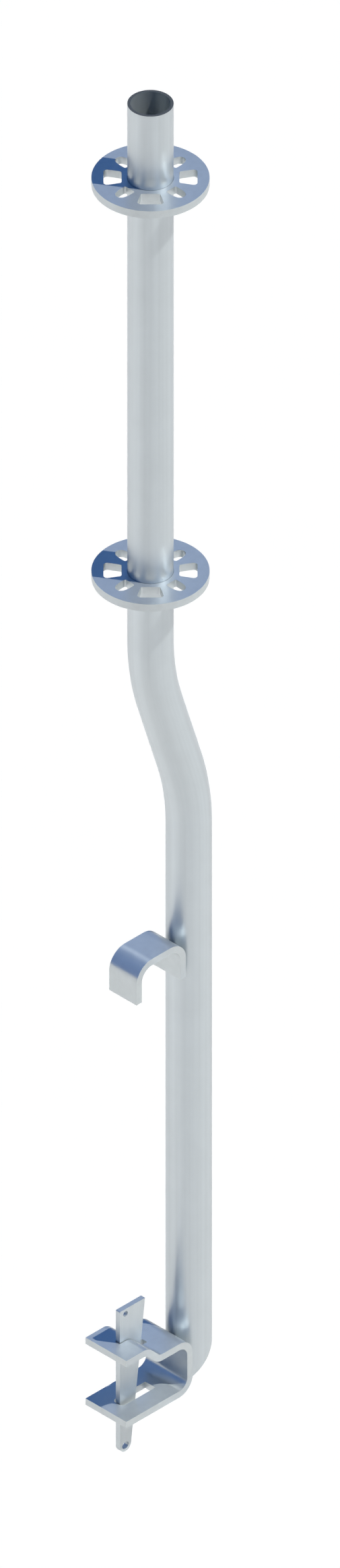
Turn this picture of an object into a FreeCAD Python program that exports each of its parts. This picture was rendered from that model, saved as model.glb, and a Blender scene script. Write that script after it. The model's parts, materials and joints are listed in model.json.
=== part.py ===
import FreeCAD, Part
import math
import os

# Scaffold guardrail post: a cranked tube with two rosettes, a hook and a wedge clamp.
# Millimetres. The origin is on the axis of the ledger that the clamp grips, in the post's plane of
# symmetry. +X runs along that ledger, +Z points up the post and -Y points out of the clamp's mouth.

# Post tube, and the ledger tubes that the clamp and the hook are made for
tube_diameter = 48.3
tube_wall = 3.2
ledger_diameter = 48.3
bend_radius = 280.0
bend_straight = 94.5
bend_above_hook = 126.5
foot_angle = 45.0
foot_drop = 2.75
top_stub = 94.0

# Rosettes: round plates with large and small wedge holes in turn
rosette_thickness = 9.0
rosette_pitch = 500.0
rosette_above_bend = 77.5
rosette_clearance = 0.3
rosette_inner_ring = 5.55
rosette_outer_ring = 12.0
hole_pairs = 4
large_hole_length = 18.9
large_hole_inner_width = 20.0
large_hole_outer_width = 29.6
large_hole_inner_corner = 2.5
large_hole_outer_corner = 4.0
small_hole_length = 19.5
small_hole_width = 14.4
small_hole_nose = 12.3
small_hole_taper = 1.0
small_hole_corner = 2.0

# Flat bar that the hook and the clamp are bent from
bar_thickness = 8.0

# Hook: hangs over the upper ledger
hook_width = 40.0
hook_height = 500.0
hook_headroom = 1.75
hook_play = 8.5
hook_leg = 39.75
hook_bend_radius = 15.0

# Clamp bracket: a jaw with a raised lip, slotted for the wedge
clamp_width = 60.0
jaw_play = 1.85
jaw_bend_radius = 12.0
lip_rise = 17.4
lip_margin = 16.8
jog_angle = 45.0
jog_forward = 17.45
jog_bend_radius = 8.0
lip_slot_clearance = 0.7
lip_slot_length = 40.4
lip_slot_corner = 1.2
arm_slot_width = 15.0
arm_slot_length = 47.4
arm_slot_corner = 0.6

# Wedge: slides up and down in the slots and presses on the ledger with its tapered edge
wedge_thickness = 6.0
wedge_grip_width = 23.75
wedge_play = 0.8
wedge_top_width = 36.9
wedge_tail_radius = 8.25
wedge_above_lip = 39.8
wedge_below_arm = 55.25
wedge_chamfer = 0.8
head_hole_diameter = 6.5
head_hole_drop = 6.1
head_hole_inset = 8.2
tail_hole_diameter = 9.0
tail_hole_rise = 7.25
tail_hole_inset = 8.0

# Welds: rings under the rosettes, and beads in the grooves between the bars and the tube
ring_weld_leg = 4.0
ring_weld_crown = 0.5
bead_root = 1.0
bead_throat = 4.3
bead_crown = 0.5
bead_end_gap = 3.0

# Values worked out from the sizes above
tube_radius = tube_diameter / 2
ledger_radius = ledger_diameter / 2
half_bar = bar_thickness / 2
offset_y = ledger_radius + bar_thickness + tube_radius
plate_back_y = offset_y - tube_radius
plate_mid_y = plate_back_y - half_bar

jaw_half = ledger_radius + jaw_play
lower_arm_z = -jaw_half - half_bar
upper_arm_z = jaw_half + half_bar
lip_z = upper_arm_z + lip_rise
wedge_front_y = -ledger_radius - wedge_grip_width
slot_front_y = wedge_front_y - wedge_play
lip_slot_width = wedge_thickness + 2 * lip_slot_clearance
arm_front_y = slot_front_y - lip_margin

hook_top_z = hook_height + ledger_radius + hook_headroom
hook_foot_z = hook_top_z - hook_leg

# The crank's angle brings two equal arcs and the straight between them to the offset
crank_reach = math.hypot(2 * bend_radius, bend_straight)
crank_angle = (math.acos((2 * bend_radius - offset_y) / crank_reach)
               - math.atan2(bend_straight, 2 * bend_radius))
crank_tangent = bend_radius * math.tan(crank_angle / 2)
lower_corner_z = hook_top_z + bar_thickness + bend_above_hook + crank_tangent
upper_corner_z = lower_corner_z + offset_y / math.tan(crank_angle)
lower_rosette_z = upper_corner_z + crank_tangent + rosette_above_bend
upper_rosette_z = lower_rosette_z + rosette_pitch
post_top_z = upper_rosette_z + rosette_thickness + top_stub
foot_tip_z = lower_arm_z - half_bar - foot_drop

rosette_bore_radius = tube_radius + rosette_clearance
hole_inner_x = rosette_bore_radius + rosette_inner_ring
large_hole_outer_x = hole_inner_x + large_hole_length
small_hole_outer_x = hole_inner_x + small_hole_length
rosette_radius = small_hole_outer_x + rosette_outer_ring

ORIGIN = FreeCAD.Vector(0, 0, 0)
X_AXIS = FreeCAD.Vector(1, 0, 0)
Z_AXIS = FreeCAD.Vector(0, 0, 1)
SAME_PLACE = 1e-4


def side_point(y, z):
    """A point of the plane of symmetry."""
    return FreeCAD.Vector(0, y, z)


def plan_point(x, y):
    """A point of the ground plane."""
    return FreeCAD.Vector(x, y, 0)


def line(start, end):
    return Part.makeLine(start, end)


def arc(start, middle, end):
    return Part.Arc(start, middle, end).toShape()


def face(edges):
    return Part.Face(Part.Wire(edges))


def rounded_path(points, radii):
    """Straight runs through the points, joined at each inner point by a tangent arc."""
    edges = []
    run_start = points[0]
    for before, corner, after, radius in zip(points, points[1:], points[2:], radii):
        back = (before - corner).normalize()
        ahead = (after - corner).normalize()
        half_angle = back.getAngle(ahead) / 2
        tangent = radius / math.tan(half_angle)
        inward = (back + ahead).normalize()
        arc_start = corner + back * tangent
        arc_end = corner + ahead * tangent
        arc_middle = corner + inward * (radius / math.sin(half_angle) - radius)
        edges.append(line(run_start, arc_start))
        edges.append(arc(arc_start, arc_middle, arc_end))
        run_start = arc_end
    edges.append(line(run_start, points[-1]))
    return Part.Wire(edges)


def bent_bar(points, inner_radii, width):
    """A flat bar bent along its centre line in the plane of symmetry."""
    path = rounded_path(points, [radius + half_bar for radius in inner_radii])
    across = X_AXIS * (width / 2)
    through = X_AXIS.cross((points[1] - points[0]).normalize()) * half_bar
    start = points[0]
    section = Part.Face(Part.makePolygon([
        start - across - through,
        start + across - through,
        start + across + through,
        start - across + through,
        start - across - through,
    ]))
    return path.makePipe(section)


def post_tube():
    points = [
        side_point(offset_y, foot_tip_z - tube_diameter),
        side_point(offset_y, lower_corner_z),
        side_point(0, upper_corner_z),
        side_point(0, post_top_z),
    ]
    path = rounded_path(points, [bend_radius, bend_radius])
    outside = Part.Face(Part.Wire(Part.makeCircle(tube_radius, points[0], Z_AXIS)))
    inside = Part.Face(Part.Wire(Part.makeCircle(tube_radius - tube_wall, points[0], Z_AXIS)))
    tube = path.makePipe(outside).cut(path.makePipe(inside))
    return tube.cut(foot_waste())


def foot_waste():
    """What the slanted cut takes off the foot: all below a plane that rises away from the clamp."""
    rise = tube_diameter * math.tan(math.radians(foot_angle))
    tip = side_point(plate_back_y, foot_tip_z)
    slope = side_point(tube_diameter, rise)
    low = tip - slope
    high = tip + slope * 2
    below = Z_AXIS * (-2 * (tube_diameter + rise))
    outline = Part.Face(Part.makePolygon([low, high, high + below, low + below, low]))
    outline.translate(X_AXIS * -tube_diameter)
    return outline.extrude(X_AXIS * (2 * tube_diameter))


def rosette(base_z):
    plate = Part.makeCylinder(rosette_radius, rosette_thickness)
    plate = plate.cut(Part.makeCylinder(rosette_bore_radius, rosette_thickness))
    pair_angle = 360 / hole_pairs
    for pair in range(hole_pairs):
        plate = plate.cut(turned(small_hole(), pair * pair_angle))
        plate = plate.cut(turned(large_hole(), (pair + 0.5) * pair_angle))
    plate.translate(Z_AXIS * base_z)
    return plate


def turned(shape, degrees):
    shape.rotate(ORIGIN, Z_AXIS, degrees)
    return shape


def upright_edges(shape, low_x, high_x):
    """The edges along Z that stand between two places on the X axis."""
    return [edge for edge in shape.Edges
            if edge.BoundBox.XLength < SAME_PLACE and edge.BoundBox.YLength < SAME_PLACE
            and low_x - SAME_PLACE < edge.BoundBox.XMin < high_x + SAME_PLACE]


def large_hole():
    """A hole along +X with straight ends and flared sides."""
    half_inner = large_hole_inner_width / 2
    half_outer = large_hole_outer_width / 2
    corners = [
        plan_point(hole_inner_x, half_inner),
        plan_point(hole_inner_x, -half_inner),
        plan_point(large_hole_outer_x, -half_outer),
        plan_point(large_hole_outer_x, half_outer),
    ]
    outline = Part.Face(Part.makePolygon(corners + corners[:1]))
    hole = outline.extrude(Z_AXIS * rosette_thickness)
    middle_x = (hole_inner_x + large_hole_outer_x) / 2
    inner_edges = upright_edges(hole, hole_inner_x, middle_x)
    hole = hole.makeFillet(large_hole_inner_corner, inner_edges)
    outer_edges = upright_edges(hole, middle_x, large_hole_outer_x)
    return hole.makeFillet(large_hole_outer_corner, outer_edges)


def small_hole():
    """A hole along +X with a straight inner end, parallel sides and a drawn-out round nose."""
    half_width = small_hole_width / 2
    tip_radius = half_width - small_hole_taper
    nose_x = small_hole_outer_x - small_hole_nose
    # The nose's flanks are arcs that run on from the straight sides and are tangent to the tip's arc
    tip_run = small_hole_nose - tip_radius
    flank_radius = (tip_run ** 2 + half_width ** 2 - tip_radius ** 2) / (2 * small_hole_taper)
    flank_centre = plan_point(nose_x, half_width - flank_radius)
    tip_centre = plan_point(small_hole_outer_x - tip_radius, 0)
    tip_direction = (tip_centre - flank_centre).normalize()
    flank_angle = math.atan2(tip_direction.x, tip_direction.y)
    flank_middle = plan_point(math.sin(flank_angle / 2), math.cos(flank_angle / 2)) * flank_radius
    left = [
        plan_point(hole_inner_x, half_width),
        plan_point(nose_x, half_width),
        flank_centre + flank_middle,
        flank_centre + tip_direction * flank_radius,
    ]
    right = [plan_point(point.x, -point.y) for point in left]
    outline = face([
        line(left[0], right[0]),
        line(right[0], right[1]),
        arc(right[1], right[2], right[3]),
        arc(right[3], plan_point(small_hole_outer_x, 0), left[3]),
        arc(left[3], left[2], left[1]),
        line(left[1], left[0]),
    ])
    hole = outline.extrude(Z_AXIS * rosette_thickness)
    inner_end = hole_inner_x + SAME_PLACE
    return hole.makeFillet(small_hole_corner, upright_edges(hole, hole_inner_x, inner_end))


def hook():
    front_y = -ledger_radius - hook_play - half_bar
    top_z = hook_top_z + half_bar
    points = [
        side_point(front_y, hook_foot_z),
        side_point(front_y, top_z),
        side_point(plate_mid_y, top_z),
        side_point(plate_mid_y, hook_foot_z),
    ]
    return bent_bar(points, [hook_bend_radius, hook_bend_radius], hook_width)


def clamp_bracket():
    jog_run = lip_rise / math.tan(math.radians(jog_angle))
    points = [
        side_point(arm_front_y, lip_z),
        side_point(-jog_forward - jog_run, lip_z),
        side_point(-jog_forward, upper_arm_z),
        side_point(plate_mid_y, upper_arm_z),
        side_point(plate_mid_y, lower_arm_z),
        side_point(arm_front_y, lower_arm_z),
    ]
    inner_radii = [jog_bend_radius, jog_bend_radius, jaw_bend_radius, jaw_bend_radius]
    bar = bent_bar(points, inner_radii, clamp_width)
    lip_slot = slot(lip_slot_width, lip_slot_length, lip_slot_corner, 0, lip_z + bar_thickness)
    arm_slot = slot(arm_slot_width, arm_slot_length, arm_slot_corner, lower_arm_z - bar_thickness, 0)
    return bar.cut(lip_slot).cut(arm_slot)


def slot(width, length, corner, low_z, high_z):
    """An upright cutter for one of the wedge's slots."""
    near_corner = FreeCAD.Vector(-width / 2, slot_front_y, low_z)
    cutter = Part.makeBox(width, length, high_z - low_z, near_corner)
    return cutter.makeFillet(corner, upright_edges(cutter, -width / 2, width / 2))


def wedge():
    top_z = lip_z + half_bar + wedge_above_lip
    foot_z = lower_arm_z - half_bar - wedge_below_arm
    tail = side_point(wedge_front_y + wedge_tail_radius, foot_z + wedge_tail_radius)
    back_top = side_point(wedge_front_y + wedge_top_width, top_z)
    # The tapered back edge runs from the head's corner to where it is tangent to the round tail
    reach = back_top - tail
    reach_angle = math.atan2(reach.z, reach.y)
    tangent_angle = reach_angle - math.acos(wedge_tail_radius / reach.Length)
    back_foot = tail + on_tail(tangent_angle)
    front_foot = tail + on_tail(math.pi)
    tail_tip = tail + on_tail((tangent_angle - math.pi) / 2)
    front_top = side_point(wedge_front_y, top_z - wedge_chamfer)
    top_front = side_point(wedge_front_y + wedge_chamfer, top_z)
    outline = face([
        line(front_top, front_foot),
        arc(front_foot, tail_tip, back_foot),
        line(back_foot, back_top),
        line(back_top, top_front),
        line(top_front, front_top),
    ])
    outline.translate(X_AXIS * (-wedge_thickness / 2))
    bar = outline.extrude(X_AXIS * wedge_thickness)
    head_hole = side_point(wedge_front_y + head_hole_inset, top_z - head_hole_drop)
    tail_hole = side_point(wedge_front_y + tail_hole_inset, foot_z + tail_hole_rise)
    bar = bar.cut(cross_hole(head_hole, head_hole_diameter))
    return bar.cut(cross_hole(tail_hole, tail_hole_diameter))


def on_tail(angle):
    return side_point(math.cos(angle), math.sin(angle)) * wedge_tail_radius


def cross_hole(centre, diameter):
    start = centre - X_AXIS * (wedge_thickness / 2)
    return Part.makeCylinder(diameter / 2, wedge_thickness, start, X_AXIS)


def rosette_weld(base_z):
    """A raised fillet weld in the corner between a rosette's underside and the tube."""
    middle = ring_weld_leg / 2 + ring_weld_crown
    corners = [(0, 0), (ring_weld_leg, 0), (middle, middle), (0, ring_weld_leg), (0, 0)]
    outline = Part.Face(Part.makePolygon([
        FreeCAD.Vector(tube_radius + out, 0, base_z - down) for out, down in corners
    ]))
    return outline.revolve(ORIGIN, Z_AXIS, 360)


def groove_x(depth):
    """How far from the line of contact the groove behind a flat bar is this deep."""
    return math.sqrt(depth * (tube_diameter - depth))


def bead_pair(low_z, high_z):
    """Two weld beads, one in each groove where the flat back of a bar meets the tube."""
    def groove_point(depth, part):
        return FreeCAD.Vector(groove_x(depth), plate_back_y + part * depth, low_z)

    plate_root = groove_point(bead_root, 0)
    tube_root = groove_point(bead_root, 1)
    plate_toe = groove_point(bead_throat, 0)
    tube_toe = groove_point(bead_throat, 1)
    crown = groove_point(bead_throat, 0.5) + X_AXIS * bead_crown
    on_tube = groove_point((bead_root + bead_throat) / 2, 1)
    outline = face([
        line(tube_root, plate_root),
        line(plate_root, plate_toe),
        arc(plate_toe, crown, tube_toe),
        arc(tube_toe, on_tube, tube_root),
    ])
    bead = outline.extrude(Z_AXIS * (high_z - low_z))
    return Part.makeCompound([bead, bead.mirror(ORIGIN, X_AXIS)])


def hook_welds():
    bend_start_z = hook_top_z - hook_bend_radius
    return bead_pair(hook_foot_z + bead_end_gap, bend_start_z - bead_end_gap)


def clamp_welds():
    flat_half = jaw_half - jaw_bend_radius
    return bead_pair(bead_end_gap - flat_half, flat_half - bead_end_gap)


nodes = {
    "post_tube": post_tube(),
    "upper_rosette": rosette(upper_rosette_z),
    "lower_rosette": rosette(lower_rosette_z),
    "upper_rosette_weld": rosette_weld(upper_rosette_z),
    "lower_rosette_weld": rosette_weld(lower_rosette_z),
    "hook": hook(),
    "hook_welds": hook_welds(),
    "clamp_bracket": clamp_bracket(),
    "clamp_welds": clamp_welds(),
    "wedge": wedge(),
}

os.makedirs("parts", exist_ok=True)
for name, shape in nodes.items():
    shape.exportStep(f"parts/{name}.step")
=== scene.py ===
import json
import math

import bmesh
import bpy
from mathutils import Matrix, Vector

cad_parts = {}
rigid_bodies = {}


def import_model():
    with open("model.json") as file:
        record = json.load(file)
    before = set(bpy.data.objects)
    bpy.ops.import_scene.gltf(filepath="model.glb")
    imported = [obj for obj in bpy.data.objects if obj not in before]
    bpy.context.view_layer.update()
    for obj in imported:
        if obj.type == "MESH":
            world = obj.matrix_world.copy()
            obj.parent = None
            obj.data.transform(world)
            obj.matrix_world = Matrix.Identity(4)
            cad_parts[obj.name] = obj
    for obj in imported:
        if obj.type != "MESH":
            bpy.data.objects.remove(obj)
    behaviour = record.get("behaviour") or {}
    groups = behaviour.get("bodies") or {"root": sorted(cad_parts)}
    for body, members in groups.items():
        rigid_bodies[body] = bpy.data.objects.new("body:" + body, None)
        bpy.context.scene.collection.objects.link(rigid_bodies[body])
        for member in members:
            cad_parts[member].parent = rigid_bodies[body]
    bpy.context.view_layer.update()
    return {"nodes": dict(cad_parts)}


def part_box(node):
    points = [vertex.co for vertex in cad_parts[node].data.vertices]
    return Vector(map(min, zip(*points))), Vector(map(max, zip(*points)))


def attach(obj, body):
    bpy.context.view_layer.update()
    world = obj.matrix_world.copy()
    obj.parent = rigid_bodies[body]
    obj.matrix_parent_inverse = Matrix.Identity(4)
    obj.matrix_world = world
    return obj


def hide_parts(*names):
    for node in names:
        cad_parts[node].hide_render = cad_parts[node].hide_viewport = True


for leftover in list(bpy.data.objects):
    bpy.data.objects.remove(leftover)

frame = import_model()
nodes = frame["nodes"]
scene = bpy.context.scene

MM = 0.001

# The tube, in metres, read from the frame where it has the sizes
TUBE_LOW, TUBE_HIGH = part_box("post_tube")
TUBE_RADIUS = TUBE_HIGH.x
TUBE_WALL = 3.2 * MM
OFFSET_Y = TUBE_HIGH.y - TUBE_RADIUS
BEND_RADIUS = 280 * MM
BEND_STRAIGHT = 94.5 * MM
BEND_ABOVE_HOOK = 126.5 * MM
LOWER_BEND_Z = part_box("hook")[1].z + BEND_ABOVE_HOOK
PLATE_BACK_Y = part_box("hook")[1].y
FOOT_SLOPE = math.tan(math.radians(45))
TUBE_SEGMENTS = 96
BEND_STEPS = 24
TUBE_SHARP_ANGLE = math.radians(15)

# Weld beads and their ripples
RING_WELD_CROWN = 0.8 * MM
RING_WELD_RIPPLES = 68
RING_WELD_ROOT = 0.3 * MM
BEAD_ROOT = 1.0 * MM
BEAD_THROAT = 4.3 * MM
BEAD_CROWN = 1.0 * MM
BEAD_END_SHARE = 0.15
BEAD_STEPS = 8
RIPPLE_PITCH = 2.4 * MM
RIPPLE_HEIGHT = 0.3 * MM
RIPPLE_BOW = 0.5
RIPPLE_STEPS = 6

# The slot in the bracket's lower arm
BAR_THICKNESS = 8 * MM
WEDGE_PLAY = 0.8 * MM
ARM_SLOT_FRONT_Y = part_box("wedge")[0].y - WEDGE_PLAY
ARM_SLOT_WIDTH = 15 * MM
ARM_SLOT_LENGTH = 48.4 * MM
ARM_SLOT_CORNER = 4.8 * MM
CORNER_STEPS = 8
CUT_MARGIN = 1 * MM
MERGE_DISTANCE = 0.001 * MM
BRACKET_SHARP_ANGLE = math.radians(25)

# The zinc coat: noise scales are per metre
STREAK_SCALE = 130
CLOUD_SCALE = 30
CLOUD_SHARE = 0.25
GRAIN_SCALE = 250
GRAIN_DEPTH = 0.2 * MM
GRAIN_STRENGTH = 0.02
COAT_RANGE = (0.3, 0.7)
GRAZING_TINT = (0.86, 0.86, 0.86, 1)
STRAIGHT = "straight_place"
QUARTER_TURN = 0.25
STEEL = (0.590, 0.628, 0.642)
BEAD_STEEL = (0.52, 0.53, 0.54)
# Painted shade: the tube's end faces are coloured near black to stand in for the shade that falls on
# them
END_FACE_SHADE_STEEL = (0.095, 0.101, 0.104)

# The stage: sizes in metres, colours and strengths
FLOOR_Z = -0.45
FLOOR_HALF_WIDTH = 60
FLOOR_COLOUR = (0.80, 0.79, 0.815, 1)
FLOOR_LIFT = 0.265
DOME_RADIUS = 55
DOME_SEGMENTS = 64
DOME_RINGS = 32
DOME_COLOUR = (0.18, 0.415, 1.0, 1)
DOME_STRENGTH = 0.57
HORIZON_TOLERANCE = 0.01
WHITE = (1, 1, 1, 1)

# The view: the photograph's height and scale, and the point in the middle of its frame
IMAGE_HEIGHT = 2326
PIXELS_PER_METRE = 1428.65
AIM = Vector((0.01436, 0.01436, 0.73755))
TOWARDS_CAMERA = Vector((1, -1, 1)).normalized()
CAMERA_DISTANCE = 4


# Materials


def noise(tree, place, scale):
    """The value of a noise texture at a place."""
    texture = tree.nodes.new("ShaderNodeTexNoise")
    texture.inputs["Scale"].default_value = scale
    tree.links.new(place, texture.inputs["Vector"])
    return texture.outputs["Fac"]


def brush(tree, shader, amount):
    """Spreads highlights across a bar that is bent about X, as brushing along the bar does."""
    along = tree.nodes.new("ShaderNodeTangent")
    along.direction_type = "RADIAL"
    along.axis = "X"
    tree.links.new(along.outputs["Tangent"], shader.inputs["Tangent"])
    shader.inputs["Anisotropic"].default_value = amount
    shader.inputs["Anisotropic Rotation"].default_value = QUARTER_TURN


def galvanised(name, colour, metallic, roughness, streak_length, contrast, drawn=False, brushed=0):
    """Zinc-coated steel: faint drawn-out streaks mixed with soft clouds, and a finely uneven surface.

    A drawn piece keeps its straight form's coordinates, so its streaks follow its bends.
    """
    material = bpy.data.materials.new(name)
    material.use_nodes = True
    tree = material.node_tree
    link = tree.links.new
    shader = tree.nodes["Principled BSDF"]
    shader.inputs["Metallic"].default_value = metallic
    shader.inputs["Specular Tint"].default_value = GRAZING_TINT
    if brushed:
        brush(tree, shader, brushed)

    if drawn:
        straight = tree.nodes.new("ShaderNodeAttribute")
        straight.attribute_name = STRAIGHT
        place = straight.outputs["Vector"]
    else:
        place = tree.nodes.new("ShaderNodeTexCoord").outputs["Object"]
    drawn_out = tree.nodes.new("ShaderNodeMapping")
    drawn_out.inputs["Scale"].default_value = (1, 1, 1 / streak_length)
    link(place, drawn_out.inputs["Vector"])
    coat = tree.nodes.new("ShaderNodeMix")
    coat.inputs["Factor"].default_value = CLOUD_SHARE
    link(noise(tree, drawn_out.outputs["Vector"], STREAK_SCALE), coat.inputs["A"])
    link(noise(tree, place, CLOUD_SCALE), coat.inputs["B"])

    shades = (1 - contrast, 1 + contrast)
    tint = tree.nodes.new("ShaderNodeValToRGB")
    for element, position, shade in zip(tint.color_ramp.elements, COAT_RANGE, shades):
        element.position = position
        element.color = [shade * part for part in colour] + [1]
    link(coat.outputs["Result"], tint.inputs["Fac"])
    link(tint.outputs["Color"], shader.inputs["Base Color"])

    gloss = tree.nodes.new("ShaderNodeMapRange")
    for end, position, shade in zip(("Min", "Max"), COAT_RANGE, shades):
        gloss.inputs["From " + end].default_value = position
        gloss.inputs["To " + end].default_value = roughness * shade
    link(coat.outputs["Result"], gloss.inputs["Value"])
    link(gloss.outputs["Result"], shader.inputs["Roughness"])

    bump = tree.nodes.new("ShaderNodeBump")
    bump.inputs["Strength"].default_value = GRAIN_STRENGTH
    bump.inputs["Distance"].default_value = GRAIN_DEPTH
    link(noise(tree, place, GRAIN_SCALE), bump.inputs["Height"])
    link(bump.outputs["Normal"], shader.inputs["Normal"])
    return material


tube_metal = galvanised("galvanised_tube_metal", STEEL, metallic=0.74, roughness=0.38,
                        streak_length=150, contrast=0.06, drawn=True)
plate_metal = galvanised("galvanised_plate_metal", STEEL, metallic=0.62, roughness=0.32,
                         streak_length=1, contrast=0.03)
bar_metal = galvanised("galvanised_bar_metal", STEEL, metallic=0.70, roughness=0.33,
                       streak_length=1, contrast=0.03, brushed=0.78)
wedge_metal = galvanised("wedge_metal", STEEL, metallic=0.62, roughness=0.38,
                         streak_length=4, contrast=0.03)
weld_metal = galvanised("weld_bead_metal", BEAD_STEEL, metallic=0.65, roughness=0.40,
                        streak_length=1, contrast=0.08)
inner_metal = galvanised("tube_inside_metal", STEEL, metallic=0.72, roughness=0.34,
                         streak_length=20, contrast=0.08, drawn=True)
# Painted shade on the tube's end faces: a dark coat where the faces are only in shade
end_face_shade_metal = galvanised("tube_end_painted_shade", END_FACE_SHADE_STEEL, metallic=0.2, roughness=0.5,
                       streak_length=1, contrast=0.08)


# Pieces


def mesh_object(name, bm):
    """An object in the scene that takes over this mesh."""
    mesh = bpy.data.meshes.new(name)
    bm.to_mesh(mesh)
    bm.free()
    made = bpy.data.objects.new(name, mesh)
    scene.collection.objects.link(made)
    return made


def new_piece(name, bm, materials, node_names):
    """A smooth-shaded piece of the post that stands for CAD nodes."""
    bmesh.ops.recalc_face_normals(bm, faces=bm.faces)
    piece = mesh_object(name, bm)
    mesh = piece.data
    mesh.polygons.foreach_set("use_smooth", [True] * len(mesh.polygons))
    for material in materials:
        mesh.materials.append(material)
    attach(piece, "post")
    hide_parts(*node_names)
    return piece


def skin(bm, rows, material_index=0):
    """Quads between neighbouring closed rows of vertices."""
    for row, next_row in zip(rows, rows[1:]):
        count = len(row)
        for k in range(count):
            n = (k + 1) % count
            quad = bm.faces.new((row[k], row[n], next_row[n], next_row[k]))
            quad.material_index = material_index


def tube_stations():
    """Centre-line stations from the crank to the top: y, z, the tube's lean and the length along it."""
    # The lean at which both bends and the straight between them add up to the tube's offset
    reach = math.hypot(2 * BEND_RADIUS, BEND_STRAIGHT)
    lean = (math.acos((2 * BEND_RADIUS - OFFSET_Y) / reach)
            - math.atan2(BEND_STRAIGHT, 2 * BEND_RADIUS))
    upper_bend_z = LOWER_BEND_Z + 2 * BEND_RADIUS * math.sin(lean) + BEND_STRAIGHT * math.cos(lean)
    crank_top = LOWER_BEND_Z + 2 * BEND_RADIUS * lean + BEND_STRAIGHT
    stations = []
    for i in range(BEND_STEPS + 1):
        angle = lean * i / BEND_STEPS
        stations.append((OFFSET_Y - BEND_RADIUS * (1 - math.cos(angle)),
                         LOWER_BEND_Z + BEND_RADIUS * math.sin(angle), angle,
                         LOWER_BEND_Z + BEND_RADIUS * angle))
    for i in range(BEND_STEPS + 1):
        angle = lean * (1 - i / BEND_STEPS)
        stations.append((BEND_RADIUS * (1 - math.cos(angle)),
                         upper_bend_z - BEND_RADIUS * math.sin(angle), angle,
                         crank_top - BEND_RADIUS * angle))
    stations.append((0, TUBE_HIGH.z, 0, crank_top + TUBE_HIGH.z - upper_bend_z))
    return stations


def circle(radius):
    """Points round the tube's section: how far along X, and how far out of the centre line."""
    for k in range(TUBE_SEGMENTS):
        turn = 2 * math.pi * k / TUBE_SEGMENTS
        yield radius * math.cos(turn), radius * math.sin(turn)


def tube_vertex(bm, place, straight_place):
    """A vertex that also keeps its place on the straight tube."""
    vertex = bm.verts.new(place)
    vertex[bm.verts.layers.float_vector[STRAIGHT]] = straight_place
    return vertex


def tube_ring(bm, station, radius):
    """A ring square to the tube's centre line."""
    y, z, lean, along = station
    ring = []
    for x, out in circle(radius):
        place = (x, y + out * math.cos(lean), z + out * math.sin(lean))
        ring.append(tube_vertex(bm, place, (x, out, along)))
    return ring


def foot_ring(bm, radius):
    """A ring in the plane of the foot's slanted cut."""
    ring = []
    for x, out in circle(radius):
        z = TUBE_LOW.z + FOOT_SLOPE * (OFFSET_Y + out - PLATE_BACK_Y)
        ring.append(tube_vertex(bm, (x, OFFSET_Y + out, z), (x, out, z)))
    return ring


def make_tube():
    """The cranked tube with its bore, its square top and its slanted foot; its end faces carry painted
    shade.
    """
    bm = bmesh.new()
    bm.verts.layers.float_vector.new(STRAIGHT)
    metals = [tube_metal, inner_metal, end_face_shade_metal]
    stations = tube_stations()
    walls = []
    for radius in (TUBE_RADIUS, TUBE_RADIUS - TUBE_WALL):
        walls.append([foot_ring(bm, radius)] + [tube_ring(bm, station, radius) for station in stations])
    outside, inside = walls
    skin(bm, outside, metals.index(tube_metal))
    skin(bm, inside, metals.index(inner_metal))
    # The end faces take the painted-shade metal
    for end in (-1, 0):
        skin(bm, [outside[end], inside[end]], metals.index(end_face_shade_metal))
    tube = new_piece("post_tube_skin", bm, metals, ["post_tube"])
    tube.data.set_sharp_from_angle(angle=TUBE_SHARP_ANGLE)


def ripple(phase):
    """Height of a run of weld ripples, each a low scale that ends in a small step."""
    part = phase % 1
    return part * (2 - part)


def make_ring_weld(name):
    """A rippled fillet weld in the corner between a rosette's underside and the tube."""
    bm = bmesh.new()
    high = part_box(name)[1]
    leg = high.x - TUBE_RADIUS
    around = RING_WELD_RIPPLES * RIPPLE_STEPS
    rows = []
    for k in range(around):
        turn = 2 * math.pi * k / around
        profile = [(-RING_WELD_ROOT, -RING_WELD_ROOT)]
        for i in range(BEAD_STEPS + 1):
            part = i / BEAD_STEPS
            bulge = math.sin(math.pi * part)
            wave = ripple(RING_WELD_RIPPLES * k / around + RIPPLE_BOW * bulge)
            swell = bulge * (RING_WELD_CROWN + RIPPLE_HEIGHT * (wave - 1)) / math.sqrt(2)
            profile.append((leg * (1 - part) + swell, leg * part + swell))
        row = []
        for out, down in profile:
            radius = TUBE_RADIUS + out
            row.append(bm.verts.new((radius * math.cos(turn), radius * math.sin(turn), high.z - down)))
        rows.append(row)
    skin(bm, rows + rows[:1])
    new_piece(name + "_bead", bm, [weld_metal], [name])


def groove_point(depth, part):
    """A point across the groove between a bar's flat back and the tube, where it is this deep."""
    return Vector((math.sqrt(depth * (2 * TUBE_RADIUS - depth)), PLATE_BACK_Y + part * depth, 0))


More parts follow.
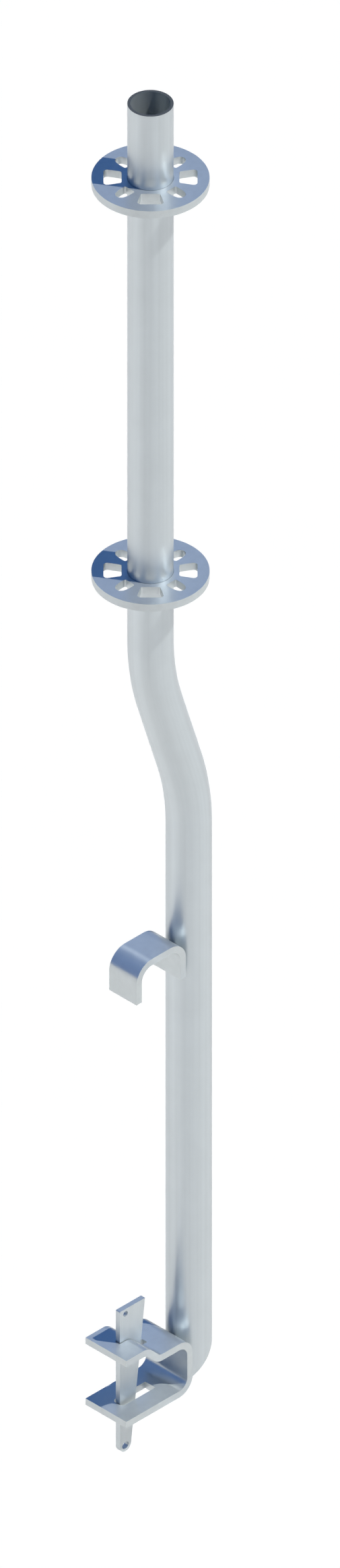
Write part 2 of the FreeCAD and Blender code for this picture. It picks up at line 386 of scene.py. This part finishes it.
def make_groove_beads(name):
    """Two rippled beads with round ends, one in each groove between a bar's back and the tube."""
    bm = bmesh.new()
    low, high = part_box(name)
    length = high.z - low.z
    steps = round(length / RIPPLE_PITCH) * RIPPLE_STEPS
    for side in (-1, 1):
        rows = []
        for k in range(steps + 1):
            along = k / steps
            z = low.z + length * along
            # Rounded ends: nothing at the very end, and full from one throat's length inwards
            end_distance = min(along, 1 - along) * length
            fullness = math.sqrt(1 - max(0.0, 1 - end_distance / BEAD_THROAT) ** 2)
            share = BEAD_END_SHARE + (1 - BEAD_END_SHARE) * fullness
            throat = BEAD_ROOT + (BEAD_THROAT - BEAD_ROOT) * share
            row = [groove_point(BEAD_ROOT, part=0.5)]
            for i in range(BEAD_STEPS + 1):
                part = i / BEAD_STEPS
                bulge = math.sin(math.pi * part)
                wave = ripple((z - low.z) / RIPPLE_PITCH + RIPPLE_BOW * bulge)
                swell = bulge * fullness * (BEAD_CROWN + RIPPLE_HEIGHT * (wave - 1))
                row.append(groove_point(throat, part) + Vector((swell, 0, 0)))
            rows.append([bm.verts.new((side * p.x, p.y, z)) for p in row])
        skin(bm, rows)
        bm.faces.new(rows[0])
        bm.faces.new(rows[-1])
    new_piece(name + "_beads", bm, [weld_metal], [name])


def slot_outline(margin, corner):
    """Points round the lower arm's slot, this much wider all round: square behind, round in front."""
    half = ARM_SLOT_WIDTH / 2 + margin
    front = ARM_SLOT_FRONT_Y - margin
    rear = ARM_SLOT_FRONT_Y + ARM_SLOT_LENGTH + margin
    points = [(half, rear), (-half, rear)]
    for side, first_turn in ((-1, math.pi), (1, 1.5 * math.pi)):
        for i in range(CORNER_STEPS + 1):
            turn = first_turn + math.pi / 2 * i / CORNER_STEPS
            x = side * (half - corner) + corner * math.cos(turn)
            points.append((x, front + corner + corner * math.sin(turn)))
    return points


def reshape(piece, operation, outline, low_z, high_z):
    """Adds an upright block with this outline to a piece, or cuts it out."""
    bm = bmesh.new()
    rows = [[bm.verts.new((x, y, z)) for x, y in outline] for z in (low_z, high_z)]
    skin(bm, rows)
    for row in rows:
        bm.faces.new(row)
    bmesh.ops.recalc_face_normals(bm, faces=bm.faces)
    block = mesh_object("block", bm)
    change = piece.modifiers.new("change", "BOOLEAN")
    change.operation = operation
    change.solver = "EXACT"
    change.object = block
    shaped = piece.evaluated_get(bpy.context.evaluated_depsgraph_get())
    piece.data = bpy.data.meshes.new_from_object(shaped)
    piece.modifiers.remove(change)
    bpy.data.objects.remove(block)


def make_bracket():
    """The bracket's own form, its lower arm's slot filled in and cut again with round front corners."""
    # A copy of the node's mesh, closed by merging the vertices that are doubled along its edges
    source = nodes["clamp_bracket"].data
    bm = bmesh.new()
    points = [bm.verts.new(vertex.co) for vertex in source.vertices]
    for face in source.polygons:
        bm.faces.new([points[i] for i in face.vertices])
    bmesh.ops.remove_doubles(bm, verts=bm.verts, dist=MERGE_DISTANCE)
    bracket = new_piece("clamp_bracket_skin", bm, [bar_metal], ["clamp_bracket"])

    low_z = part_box("clamp_bracket")[0].z
    high_z = low_z + BAR_THICKNESS
    filling = slot_outline(CUT_MARGIN, CUT_MARGIN)
    reshape(bracket, "UNION", filling, low_z, high_z)
    cut = slot_outline(0, ARM_SLOT_CORNER)
    reshape(bracket, "DIFFERENCE", cut, low_z - CUT_MARGIN, high_z + CUT_MARGIN)
    bracket.data.set_sharp_from_angle(angle=BRACKET_SHARP_ANGLE)
    bracket.modifiers.new("flat_faces_stay_flat", "WEIGHTED_NORMAL").keep_sharp = True


make_tube()
make_bracket()
for name in ("upper_rosette_weld", "lower_rosette_weld"):
    make_ring_weld(name)
for name in ("hook_welds", "clamp_welds"):
    make_groove_beads(name)

for name in ("upper_rosette", "lower_rosette"):
    nodes[name].data.materials[0] = plate_metal
nodes["hook"].data.materials[0] = bar_metal
nodes["wedge"].data.materials[0] = wedge_metal


# Stage: a pale floor below the post, a sky-coloured light dome, a sun and a soft fill from below


def stage_piece(name, bm, material):
    """A piece of the surroundings, apart from the post."""
    piece = mesh_object(name, bm)
    piece.data.materials.append(material)
    return piece


def bare_material(name):
    """A material with an empty node tree."""
    material = bpy.data.materials.new(name)
    material.use_nodes = True
    material.node_tree.nodes.clear()
    return material


def seen_ray(tree):
    """1 for camera, glossy and transmission rays, 0 for those that only carry light."""
    path = tree.nodes.new("ShaderNodeLightPath")
    seen = path.outputs["Is Camera Ray"]
    for kind in ("Is Glossy Ray", "Is Transmission Ray"):
        either = tree.nodes.new("ShaderNodeMath")
        either.operation = "MAXIMUM"
        tree.links.new(seen, either.inputs[0])
        tree.links.new(path.outputs[kind], either.inputs[1])
        seen = either.outputs[0]
    return seen


def floor_material():
    """Pale and plain, lifted to white where it is seen, and clear from below."""
    material = bare_material("floor_pale")
    tree = material.node_tree
    link = tree.links.new
    diffuse = tree.nodes.new("ShaderNodeBsdfDiffuse")
    diffuse.inputs["Color"].default_value = FLOOR_COLOUR
    lift = tree.nodes.new("ShaderNodeEmission")
    strength = tree.nodes.new("ShaderNodeMath")
    strength.operation = "MULTIPLY"
    strength.inputs[1].default_value = FLOOR_LIFT
    link(seen_ray(tree), strength.inputs[0])
    link(strength.outputs[0], lift.inputs["Strength"])
    lifted = tree.nodes.new("ShaderNodeAddShader")
    link(diffuse.outputs[0], lifted.inputs[0])
    link(lift.outputs[0], lifted.inputs[1])
    clear = tree.nodes.new("ShaderNodeBsdfTransparent")
    geometry = tree.nodes.new("ShaderNodeNewGeometry")
    pick = tree.nodes.new("ShaderNodeMixShader")
    link(geometry.outputs["Backfacing"], pick.inputs[0])
    link(lifted.outputs[0], pick.inputs[1])
    link(clear.outputs[0], pick.inputs[2])
    out = tree.nodes.new("ShaderNodeOutputMaterial")
    link(pick.outputs[0], out.inputs["Surface"])
    return material


def make_floor():
    """A wide floor that lets the fill through, because it casts no shadow itself."""
    bm = bmesh.new()
    half = FLOOR_HALF_WIDTH
    corners = [(-half, -half), (half, -half), (half, half), (-half, half)]
    bm.faces.new([bm.verts.new((x, y, FLOOR_Z)) for x, y in corners])
    floor = stage_piece("floor", bm, floor_material())
    floor.visible_shadow = False


def dome_material():
    """An even sky-blue glow."""
    material = bare_material("dome_light")
    tree = material.node_tree
    glow = tree.nodes.new("ShaderNodeEmission")
    glow.inputs["Color"].default_value = DOME_COLOUR
    glow.inputs["Strength"].default_value = DOME_STRENGTH
    out = tree.nodes.new("ShaderNodeOutputMaterial")
    tree.links.new(glow.outputs[0], out.inputs["Surface"])
    return material


def make_dome():
    """A wide half dome that shows in reflections alone: upward faces mirror its sky blue."""
    bm = bmesh.new()
    bmesh.ops.create_uvsphere(bm, u_segments=DOME_SEGMENTS, v_segments=DOME_RINGS, radius=DOME_RADIUS)
    below = [vertex for vertex in bm.verts if vertex.co.z < -HORIZON_TOLERANCE]
    bmesh.ops.delete(bm, geom=below, context="VERTS")
    bmesh.ops.translate(bm, verts=bm.verts, vec=(0, 0, FLOOR_Z))
    dome = stage_piece("light_dome", bm, dome_material())
    dome.visible_camera = False
    dome.visible_diffuse = False
    dome.visible_shadow = False


def make_sun(name, towards, colour, energy, width):
    """A distant lamp in this direction, this many degrees wide."""
    data = bpy.data.lights.new(name, "SUN")
    data.color = colour
    data.energy = energy
    data.angle = math.radians(width)
    lamp = bpy.data.objects.new(name, data)
    lamp.rotation_mode = "QUATERNION"
    lamp.rotation_quaternion = (-Vector(towards)).to_track_quat("-Z", "Y")
    scene.collection.objects.link(lamp)


make_floor()
make_dome()
make_sun("sun", towards=(0.455, 0.288, 0.843), colour=(0.98, 1, 0.97), energy=3.5, width=0.6)
make_sun("fill", towards=(-0.577, -0.577, -0.577), colour=(1, 1, 1), energy=0.9, width=60)

world = bpy.data.worlds.new("studio_world")
scene.world = world
world.use_nodes = True
backdrop = world.node_tree.nodes["Background"]
backdrop.inputs["Color"].default_value = WHITE
world.node_tree.links.new(seen_ray(world.node_tree), backdrop.inputs["Strength"])


# Camera: a true isometric view that keeps parallel lines parallel

camera_data = bpy.data.cameras.new("camera")
camera_data.type = "ORTHO"
camera_data.ortho_scale = IMAGE_HEIGHT / PIXELS_PER_METRE
camera = bpy.data.objects.new("camera", camera_data)
camera.location = AIM + TOWARDS_CAMERA * CAMERA_DISTANCE
camera.rotation_mode = "QUATERNION"
camera.rotation_quaternion = (-TOWARDS_CAMERA).to_track_quat("-Z", "Y")
scene.collection.objects.link(camera)
scene.camera = camera

scene.view_settings.view_transform = "Standard"
